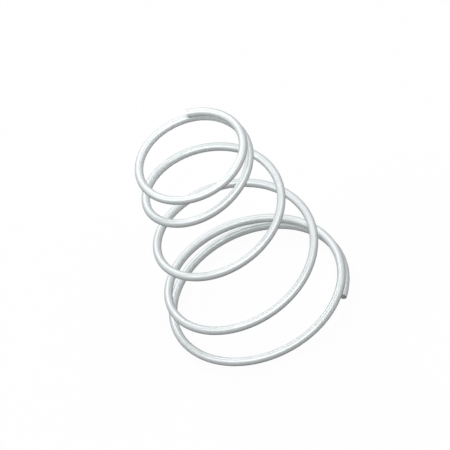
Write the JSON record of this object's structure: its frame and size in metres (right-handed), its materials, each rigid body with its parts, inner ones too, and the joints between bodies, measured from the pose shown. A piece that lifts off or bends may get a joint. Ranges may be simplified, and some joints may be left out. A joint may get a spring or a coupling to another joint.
{
  "type": "conical spring",
  "caption": "Conical compression spring of round steel wire, wide at the base and narrow at the top, with closed unground end coils.",
  "frame": {"origin": "on the spring's axis, in the plane that its large end stands on", "axes": "+Z along the spring's axis from the large end to the small end; +X from the axis towards the cut end of the large coil; the wire climbs right-handed about +Z"},
  "size_m": [0.0253, 0.0253, 0.0317],
  "materials": {
    "spring_wire": "pale bright-plated spring steel wire, satin, with fine lines along the wire"
  },
  "bodies": {
    "root": {"conical_spring": "spring_wire"}
  },
  "joints": []
}
